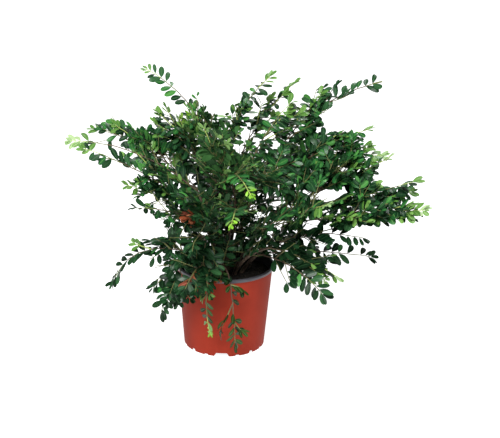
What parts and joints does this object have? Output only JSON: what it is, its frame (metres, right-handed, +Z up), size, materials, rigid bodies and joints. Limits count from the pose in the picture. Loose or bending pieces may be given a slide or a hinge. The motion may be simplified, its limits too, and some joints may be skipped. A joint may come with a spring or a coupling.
{
  "type": "potted honeysuckle",
  "caption": "Bushy small-leaved evergreen shrub with arching leafy shoots, growing in a filled round red plastic nursery pot with a notched foot.",
  "frame": {"origin": "centre of the pot's flat underside", "axes": "+Z up along the pot's axis, +X to the right as the picture shows the plant, +Y away from the camera"},
  "size_m": [0.6176, 0.485, 0.4828],
  "materials": {
    "red_plastic": "satin",
    "dark_soil": "matte",
    "bark": "matte",
    "dark_leaf": "satin",
    "mid_leaf": "satin"
  },
  "bodies": {
    "root": {"pot": "red_plastic", "soil": "dark_soil", "stem_left_back": "bark", "stem_left": "bark", "stem_front_left": "bark", "stem_low_left": "bark", "stem_centre_back": "bark", "stem_centre": "bark", "stem_right_back": "bark", "stem_right": "bark", "stem_right_low": "bark", "stem_front_right": "bark", "stem_front": "bark", "stem_pot_front": "bark", "stem_back_left": "bark", "stem_back_right": "bark", "top_left": "dark_leaf", "left_upright": "mid_leaf", "left_upper": "dark_leaf", "far_left": "mid_leaf", "left_second": "dark_leaf", "left_inner": "mid_leaf", "left_front": "dark_leaf", "front_left_high": "mid_leaf", "front_left_low": "dark_leaf", "left_droop": "mid_leaf", "left_low": "dark_leaf", "top_centre_left": "mid_leaf", "top_centre": "dark_leaf", "back_top": "mid_leaf", "top_centre_right": "dark_leaf", "front_upper": "mid_leaf", "top_right": "dark_leaf", "right_upper": "mid_leaf", "back_high_right": "dark_leaf", "right_pale": "mid_leaf", "right_far": "dark_leaf", "right_furthest": "mid_leaf", "right_front": "dark_leaf", "right_low": "mid_leaf", "right_lower": "dark_leaf", "front_right_low": "mid_leaf", "front_right_droop": "dark_leaf", "front_right_high": "mid_leaf", "front_centre": "dark_leaf", "front_fan": "mid_leaf", "front_crown": "dark_leaf", "front_rim": "mid_leaf", "pot_front_left": "dark_leaf", "pot_front_right": "mid_leaf", "back_left": "dark_leaf", "back_left_low": "mid_leaf", "back_far": "dark_leaf", "back_high_left": "mid_leaf", "back_right": "dark_leaf", "back_right_low": "mid_leaf", "back_centre": "dark_leaf", "back_low": "mid_leaf"}
  },
  "joints": []
}
